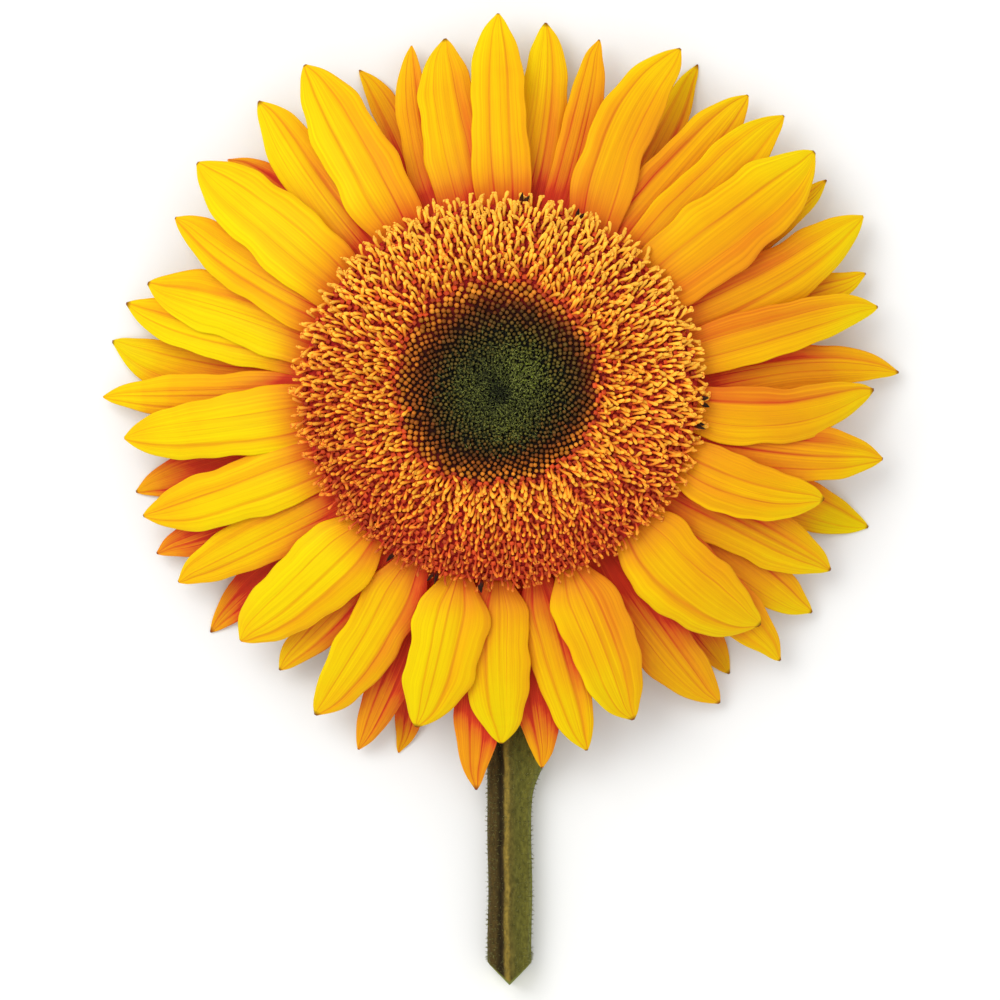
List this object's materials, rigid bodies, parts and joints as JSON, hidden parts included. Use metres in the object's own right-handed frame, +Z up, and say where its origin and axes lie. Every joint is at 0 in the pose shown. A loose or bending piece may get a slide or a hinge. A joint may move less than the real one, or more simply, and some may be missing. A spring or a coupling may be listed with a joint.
{
  "type": "cut sunflower",
  "caption": "Cut sunflower lying face up, with a short stem bent up at the neck, a green receptacle with bracts, a ring of ray petals and a domed ring of small florets.",
  "frame": {"origin": "centre of the bottom of the whole flower's box, on the surface that it lies on", "axes": "+Z up, the way the flower head faces; +Y from the cut end of the stem towards the head, along the stem; +X to the right of the face"},
  "size_m": [0.2002, 0.2438, 0.0394],
  "materials": {
    "petal_yellow": "satin, thin living petal with fine lengthwise veins, translucent",
    "petal_orange": "satin, thin living petal with fine lengthwise veins, translucent",
    "floret_orange": "matte, open tubular florets with curled styles",
    "floret_brown": "matte, packed floret buds",
    "floret_green": "matte, packed closed floret buds",
    "bract_green": "matte, leafy with short hairs along the edges",
    "receptacle_green": "matte, fleshy and ribbed",
    "stem_green": "matte, ribbed and covered with short stiff hairs"
  },
  "bodies": {
    "root": {"ray_petal_01": "petal_yellow", "ray_petal_02": "petal_orange", "ray_petal_03": "petal_yellow", "ray_petal_04": "petal_orange", "ray_petal_05": "petal_yellow", "ray_petal_06": "petal_orange", "ray_petal_07": "petal_yellow", "ray_petal_08": "petal_yellow", "ray_petal_09": "petal_yellow", "ray_petal_10": "petal_orange", "ray_petal_11": "petal_yellow", "ray_petal_12": "petal_orange", "ray_petal_13": "petal_orange", "ray_petal_14": "petal_yellow", "ray_petal_15": "petal_yellow", "ray_petal_16": "petal_orange", "ray_petal_17": "petal_orange", "ray_petal_18": "petal_yellow", "ray_petal_19": "petal_yellow", "ray_petal_20": "petal_orange", "ray_petal_21": "petal_yellow", "ray_petal_22": "petal_yellow", "ray_petal_23": "petal_yellow", "ray_petal_24": "petal_orange", "ray_petal_25": "petal_orange", "ray_petal_26": "petal_orange", "ray_petal_27": "petal_yellow", "ray_petal_28": "petal_orange", "ray_petal_29": "petal_yellow", "ray_petal_30": "petal_orange", "ray_petal_31": "petal_yellow", "ray_petal_32": "petal_orange", "ray_petal_33": "petal_yellow", "ray_petal_34": "petal_yellow", "ray_petal_35": "petal_yellow", "ray_petal_36": "petal_orange", "ray_petal_37": "petal_orange", "ray_petal_38": "petal_yellow", "ray_petal_39": "petal_orange", "ray_petal_40": "petal_yellow", "ray_petal_41": "petal_orange", "ray_petal_42": "petal_yellow", "ray_petal_43": "petal_yellow", "ray_petal_44": "petal_orange", "ray_petal_45": "petal_orange", "ray_petal_46": "petal_yellow", "ray_petal_47": "petal_yellow", "ray_petal_48": "petal_orange", "ray_petal_49": "petal_yellow", "ray_petal_50": "petal_orange", "ray_petal_51": "petal_yellow", "ray_petal_52": "petal_yellow", "stem": "stem_green", "receptacle": "receptacle_green", "bracts_inner_whorl": "bract_green", "bracts_outer_whorl": "bract_green", "disc_open_florets": "floret_orange", "disc_budding_florets": "floret_brown", "disc_closed_florets": "floret_green"}
  },
  "joints": []
}
